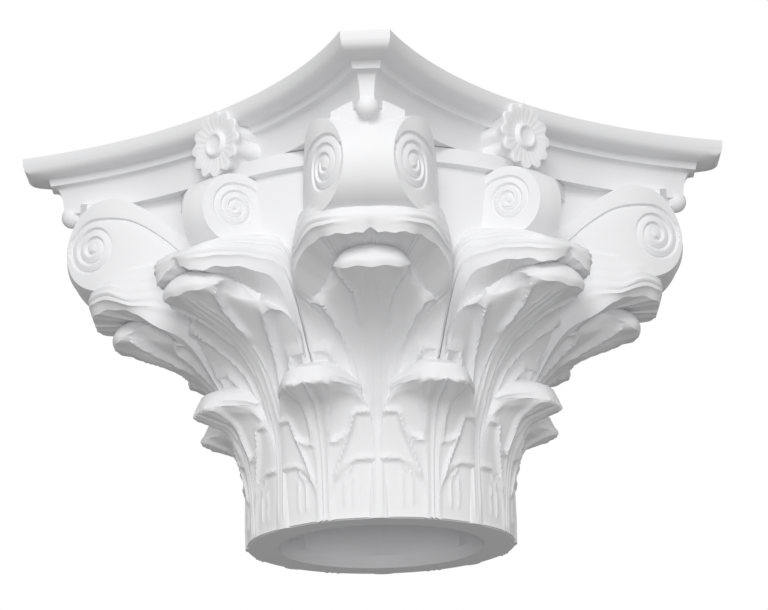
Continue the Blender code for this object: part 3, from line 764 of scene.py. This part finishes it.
# %% Scroll arms
def scroll_arm(name, scroll, band_ridge, degrees):
    """One arm: a face, its mirror image and the band between their rims."""
    flat, height, faces, rim = scroll_face(scroll)
    eye = np.array(scroll["eye"])
    out, slope, widest = scroll["out"], scroll["slope"], scroll["widest"]
    along = flat[:, 0]
    behind = widest * (1 - np.exp(np.minimum(along, 0) * slope / widest))
    aside = np.where(along > 0, -along * slope, behind)
    right = eye + np.stack([along * out, aside, flat[:, 1]], axis=-1) + height[:, None] * [slope, out, 0]
    left = right * [1, -1, 1]
    middles = []
    for share in (0.75, 0.5, 0.25):
        middle = left[:rim] + (right[:rim] - left[:rim]) * share
        out = np.clip((flat[:rim, :1] + 0.01) / 0.02, 0, 1) * band_ridge * (1 - abs(share - 0.5) * 2.6)
        middles.append(middle + out * [1, 0, 0])
    points = np.concatenate([right, left] + middles)
    count = len(right)
    all_faces = [list(f) for f in faces] + [[i + count for i in f] for f in faces]
    strips = [0, 2 * count, 2 * count + rim, 2 * count + 2 * rim, count]
    for a, b in zip(strips, strips[1:]):
        for i in range(rim):
            j = (i + 1) % rim
            all_faces.append([a + i, a + j, b + j, b + i])
    return closed_form(name, turned(points, degrees), all_faces)


for k in range(4):
    arm = scroll_arm("corner_scroll", CORNER_SCROLL, 0.0022, 45 + 90 * k)
    side_arm = scroll_arm("side_scroll", SIDE_SCROLL, 0.0012, 90 * k)
print("scrolls: 8 arms of", len(arm.data.polygons), "and", len(side_arm.data.polygons), "faces")

# %% [markdown]
# Between each corner scroll and the abacus the casting closes the gap with a small prow, which meets the
# band in a shallow chevron. It is a row of upright sections, highest in the middle.

# %% Crowns above the corner scrolls
# Distance from the middle, distance out along the diagonal and height
CROWN = [(0.0, 0.2985, 0.3560), (0.0170, 0.2910, 0.3530), (0.0340, 0.2840, 0.3465)]
CROWN_FOOT = 0.3220
CROWN_BACK = 0.2400
places = even(0, 2, 7)
half_crown = through([0, 1, 2], CROWN, places)
crown = [[(x, y, CROWN_FOOT), (x, y, z), (CROWN_BACK, y, z), (CROWN_BACK, y, CROWN_FOOT)]
         for y, x, z in np.concatenate([half_crown[:0:-1] * [-1, 1, 1], half_crown])]
for k in range(4):
    lofted("crown", turned(crown, 45 + 90 * k))
print("crowns: 4")

# %% [markdown]
# Under each horn of the abacus sits a small ball, and in the middle of each side a flower with twelve
# creased petals round a dished button, on a short body of sepals. The flower is a set of rings whose radius
# and depth change with the angle, so every petal comes from one formula.

# %% Balls and flowers
BALL_CENTRE = (0.3020, 0.3440)
BALL_RADIUS = 0.0108
FLOWER_HEIGHT = 0.3660
PETALS = 12
SEPALS = 9
FLOWER_POINTS = 84
# Ring by ring: how far out, radius, scallop as a share of the radius, crease depth and sepal swell
FLOWER_RINGS = [
    (0.1600, 0.0290, 0.00, 0.0000, 0.16),
    (0.1780, 0.0310, 0.00, 0.0000, 0.20),
    (0.1900, 0.0285, 0.00, 0.0000, 0.18),
    (0.1990, 0.0270, 0.02, 0.0000, 0.10),
    (0.2040, 0.0305, 0.08, 0.0000, 0.02),
    (0.2075, 0.0330, 0.14, 0.0000, 0.00),
    (0.2100, 0.0338, 0.15, 0.0006, 0.00),
    (0.2118, 0.0325, 0.14, 0.0012, 0.00),
    (0.2122, 0.0290, 0.10, 0.0018, 0.00),
    (0.2118, 0.0250, 0.05, 0.0019, 0.00),
    (0.2110, 0.0205, 0.02, 0.0018, 0.00),
    (0.2100, 0.0160, 0.00, 0.0014, 0.00),
    (0.2096, 0.0135, 0.00, 0.0006, 0.00),
    (0.2118, 0.0125, 0.00, 0.0000, 0.00),
    (0.2132, 0.0112, 0.00, 0.0000, 0.00),
    (0.2132, 0.0094, 0.00, 0.0000, 0.00),
    (0.2118, 0.0078, 0.00, 0.0000, 0.00),
    (0.2108, 0.0050, 0.00, 0.0000, 0.00),
    (0.2106, 0.0020, 0.00, 0.0000, 0.00),
]


def flower_rings():
    """Rings of a flower that faces outwards from the middle of a side."""
    a = 2 * np.pi * np.arange(FLOWER_POINTS) / FLOWER_POINTS
    between = 0.5 - 0.5 * np.cos(PETALS * a)
    crease = np.abs(np.cos(PETALS * a / 2)) ** 6
    sepal = np.abs(np.sin(SEPALS * a / 2))
    rings = []
    for out, radius, scallop, depth, swell in FLOWER_RINGS:
        r = radius * (1 - scallop * between**1.5) * (1 + swell * (sepal - 0.5))
        x = out - 0.6 * depth * between**2 - 0.5 * depth * crease
        rings.append(np.stack([x, r * np.cos(a), FLOWER_HEIGHT + r * np.sin(a)], axis=-1))
    return rings


def ball(degrees):
    mesh = bmesh.new()
    bmesh.ops.create_uvsphere(mesh, u_segments=24, v_segments=16, radius=BALL_RADIUS)
    centre = turned([(BALL_CENTRE[0], 0, BALL_CENTRE[1])], degrees)[0]
    bmesh.ops.translate(mesh, verts=mesh.verts, vec=centre)
    data = bpy.data.meshes.new("ball")
    mesh.to_mesh(data)
    mesh.free()
    forms.objects.link(bpy.data.objects.new("ball", data))


petals = flower_rings()
for k in range(4):
    lofted("flower", turned(petals, 90 * k))
    ball(45 + 90 * k)
print("flowers: 4 of", PETALS, "petals")

# %% [markdown]
# The real capital comes out of one mould, so all these forms are joined into one skin and the hollow is cut
# out of it: a shallow round collar at the foot and an eight-sided shaft that widens upwards. A Boolean
# modifier with a collection does the join in one step.

# %% Join into one casting
COLLAR_RADIUS = 0.1006
COLLAR_HEIGHT = 0.013
SHAFT_RADIUS_LOW = 0.1075
SHAFT_RADIUS_HIGH = 0.1500
OVER = 0.01

raised = bpy.data.collections.new("raised work")
hollow = bpy.data.collections.new("hollow")
for group in (raised, hollow):
    bpy.context.scene.collection.children.link(group)
for obj in list(forms.objects):
    if obj is not bell:
        forms.objects.unlink(obj)
        raised.objects.link(obj)

slope = (SHAFT_RADIUS_HIGH - SHAFT_RADIUS_LOW) / (HEIGHT - COLLAR_HEIGHT)
collar = turned_form("collar", [(0, -OVER), (COLLAR_RADIUS, -OVER), (COLLAR_RADIUS, COLLAR_HEIGHT + OVER),
                                (0, COLLAR_HEIGHT + OVER)], ROUND_SIDES)
shaft = turned_form("shaft", [(0, COLLAR_HEIGHT), (SHAFT_RADIUS_LOW, COLLAR_HEIGHT),
                              (SHAFT_RADIUS_HIGH + slope * OVER, HEIGHT + OVER), (0, HEIGHT + OVER)], 8)
for obj in (collar, shaft):
    forms.objects.unlink(obj)
    hollow.objects.link(obj)


def boolean(obj, operation, group):
    modifier = obj.modifiers.new(operation, "BOOLEAN")
    modifier.operation = operation
    modifier.operand_type = "COLLECTION"
    modifier.collection = group
    modifier.solver = "MANIFOLD"


boolean(bell, "UNION", raised)
boolean(bell, "DIFFERENCE", hollow)
ready = bell.evaluated_get(bpy.context.evaluated_depsgraph_get())
casting = bpy.data.objects.new("casting", bpy.data.meshes.new_from_object(ready))
bpy.context.scene.collection.objects.link(casting)
for group in (raised, hollow, forms):
    for obj in list(group.objects):
        bpy.data.objects.remove(obj)
    bpy.data.collections.remove(group)
print("casting:", len(casting.data.polygons), "faces")

# %% [markdown]
# A join leaves edges without length where two skins cross, and a few small closed pockets between a leaf, its
# hood and the bell. The real casting is solid there, so both are taken out. Then the skin is shaded smooth,
# except where two faces meet at a clear angle, so that arrises and the edges of the lobes stay crisp.

# %% Shading
MERGE = 0.000001
SHARP_DEGREES = 38


def closed_shells(mesh):
    """The faces of a mesh, sorted into closed shells."""
    left = set(mesh.faces)
    shells = []
    while left:
        shell = [left.pop()]
        for face in shell:
            for other in {near for edge in face.edges for near in edge.link_faces} & left:
                left.remove(other)
                shell.append(other)
        shells.append(shell)
    return sorted(shells, key=len)


def shade(obj):
    mesh = bmesh.new()
    mesh.from_mesh(obj.data)
    bmesh.ops.dissolve_degenerate(mesh, edges=mesh.edges, dist=MERGE)
    pockets = closed_shells(mesh)[:-1]
    bmesh.ops.delete(mesh, geom=[face for shell in pockets for face in shell], context="FACES")
    print("closed pockets taken out:", len(pockets), "of", sum(map(len, pockets)), "faces in all")
    limit = math.radians(SHARP_DEGREES)
    for face in mesh.faces:
        face.smooth = True
    open_edges = 0
    for edge in mesh.edges:
        open_edges += not edge.is_manifold
        edge.smooth = edge.is_manifold and edge.calc_face_angle(0) < limit
    bmesh.ops.triangulate(mesh, faces=mesh.faces)
    mesh.to_mesh(obj.data)
    print("shaded:", len(mesh.faces), "faces,", open_edges, "edges that don't close")
    mesh.free()


shade(casting)

# %% [markdown]
# The finish is a white primer, sprayed on a rigid foam casting: almost matt, with a faint sheen, and a skin
# with a very slight unevenness. A Principled shader carries it. Its colour shifts by a per cent or two over
# the surface and its roughness varies a little, which keeps a white object from looking like flat plastic.

# %% White primer
PRIMER_COLOUR = (0.86, 0.86, 0.87)
PRIMER_ROUGHNESS = 0.52


def primer_material():
    material = bpy.data.materials.new("white primer")
    material.use_nodes = True
    nodes = material.node_tree.nodes
    links = material.node_tree.links
    shader = nodes["Principled BSDF"]
    shader.inputs["Specular IOR Level"].default_value = 0.35
    place = nodes.new("ShaderNodeTexCoord")
    cloud = nodes.new("ShaderNodeTexNoise")
    cloud.inputs["Scale"].default_value = 9.0
    cloud.inputs["Detail"].default_value = 3.0
    links.new(place.outputs["Object"], cloud.inputs["Vector"])
    tint = nodes.new("ShaderNodeMix")
    tint.data_type = "RGBA"
    tint.inputs["A"].default_value = [0.975 * c for c in PRIMER_COLOUR] + [1]
    tint.inputs["B"].default_value = list(PRIMER_COLOUR) + [1]
    links.new(cloud.outputs["Fac"], tint.inputs["Factor"])
    links.new(tint.outputs["Result"], shader.inputs["Base Color"])
    rough = nodes.new("ShaderNodeMapRange")
    rough.inputs["To Min"].default_value = PRIMER_ROUGHNESS - 0.05
    rough.inputs["To Max"].default_value = PRIMER_ROUGHNESS + 0.05
    links.new(cloud.outputs["Fac"], rough.inputs["Value"])
    links.new(rough.outputs["Result"], shader.inputs["Roughness"])
    skin = nodes.new("ShaderNodeTexNoise")
    skin.inputs["Scale"].default_value = 420.0
    skin.inputs["Detail"].default_value = 2.0
    links.new(place.outputs["Object"], skin.inputs["Vector"])
    bump = nodes.new("ShaderNodeBump")
    bump.inputs["Strength"].default_value = 0.05
    bump.inputs["Distance"].default_value = 0.0003
    links.new(skin.outputs["Fac"], bump.inputs["Height"])
    links.new(bump.outputs["Normal"], shader.inputs["Normal"])
    return material


casting.data.materials.clear()
casting.data.materials.append(primer_material())
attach(casting, "root")
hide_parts("capital")
print("primer on", casting.name)

# %% [markdown]
# The photograph looks up at one corner from below the foot, so the capital seems to float over a white
# ground. The floor therefore lies well below the camera. The light is that of a light tent: white all round,
# one large soft lamp above the camera and two weaker ones at the sides. A small lamp near the camera's own
# height reaches into the shaft. Little light comes back from the floor, so what faces down stays greyer.

# %% Ground and lamps
FLOOR_HEIGHT = -1.6
FLOOR_SHADE = 0.36
SURROUND_LIGHT = 0.56
VIEW_AZIMUTH = 45.67
LAMP_TARGET = Vector((0, 0, 0.25))


def ground():
    mesh = bmesh.new()
    bmesh.ops.create_grid(mesh, x_segments=1, y_segments=1, size=30)
    data = bpy.data.meshes.new("floor")
    mesh.to_mesh(data)
    mesh.free()
    obj = bpy.data.objects.new("floor", data)
    obj.location.z = FLOOR_HEIGHT
    material = bpy.data.materials.new("pale floor")
    material.use_nodes = True
    shader = material.node_tree.nodes["Principled BSDF"]
    shader.inputs["Base Color"].default_value = (FLOOR_SHADE, FLOOR_SHADE, FLOOR_SHADE, 1)
    shader.inputs["Roughness"].default_value = 0.9
    data.materials.append(material)
    bpy.context.scene.collection.objects.link(obj)


def lamp(name, azimuth, elevation, distance, size, watts):
    """A square soft lamp that looks at the middle of the capital, placed as a camera would be."""
    a, e = math.radians(azimuth), math.radians(elevation)
    back = Vector((math.sin(a) * math.cos(e), -math.cos(a) * math.cos(e), math.sin(e)))
    data = bpy.data.lights.new(name, "AREA")
    data.shape = "SQUARE"
    data.size = size
    data.energy = watts
    obj = bpy.data.objects.new(name, data)
    obj.location = LAMP_TARGET + back * distance
    obj.rotation_euler = back.to_track_quat("Z", "Y").to_euler()
    bpy.context.scene.collection.objects.link(obj)


def white_surround():
    """A white world that looks fully white, and lights the capital with a part of that."""
    world = bpy.data.worlds.new("white surround")
    world.use_nodes = True
    nodes = world.node_tree.nodes
    path = nodes.new("ShaderNodeLightPath")
    level = nodes.new("ShaderNodeMapRange")
    level.inputs["To Min"].default_value = SURROUND_LIGHT
    level.inputs["To Max"].default_value = 1.0
    world.node_tree.links.new(path.outputs["Is Camera Ray"], level.inputs["Value"])
    world.node_tree.links.new(level.outputs["Result"], nodes["Background"].inputs["Strength"])
    nodes["Background"].inputs["Color"].default_value = (1, 1, 1, 1)
    bpy.context.scene.world = world


ground()
white_surround()
lamp("key", VIEW_AZIMUTH - 6, 24, 3.2, 1.1, 38)
lamp("front", VIEW_AZIMUTH + 2, -12, 3.3, 0.5, 22)
lamp("left", VIEW_AZIMUTH - 75, 20, 3.4, 1.6, 7)
lamp("right", VIEW_AZIMUTH + 80, 20, 3.4, 1.6, 6)
bpy.context.scene.view_settings.view_transform = "Standard"
print("lamps: 4, in a white surround")

# %% [markdown]
# The camera stands where the photographer stood, straight in front of one corner, low down and some three
# metres away, with a long lens. Its place was worked out from points of the abacus, the scrolls and the foot
# ring in the photograph.

# %% Camera
CAMERA_AZIMUTH = 45.67
CAMERA_ELEVATION = -16.39
CAMERA_DISTANCE = 3.124
CAMERA_ROLL = -1.31
CAMERA_TARGET = Vector((0, 0, 0.245))
CAMERA_LENS = 147.56
CAMERA_SHIFT = 0.0107


def camera():
    a, e = math.radians(CAMERA_AZIMUTH), math.radians(CAMERA_ELEVATION)
    back = Vector((math.sin(a) * math.cos(e), -math.cos(a) * math.cos(e), math.sin(e)))
    right = Vector((math.cos(a), math.sin(a), 0))
    up = back.cross(right)
    roll = math.radians(CAMERA_ROLL)
    rolled_right = math.cos(roll) * right + math.sin(roll) * up
    rolled_up = -math.sin(roll) * right + math.cos(roll) * up
    data = bpy.data.cameras.new("camera")
    data.lens = CAMERA_LENS
    data.sensor_width = 36
    data.shift_x = CAMERA_SHIFT
    obj = bpy.data.objects.new("camera", data)
    turn = Matrix((rolled_right, rolled_up, back)).transposed().to_4x4()
    obj.matrix_world = Matrix.Translation(CAMERA_TARGET + back * CAMERA_DISTANCE) @ turn
    bpy.context.scene.collection.objects.link(obj)
    bpy.context.scene.camera = obj


camera()
print("camera at azimuth", CAMERA_AZIMUTH, "and elevation", CAMERA_ELEVATION)
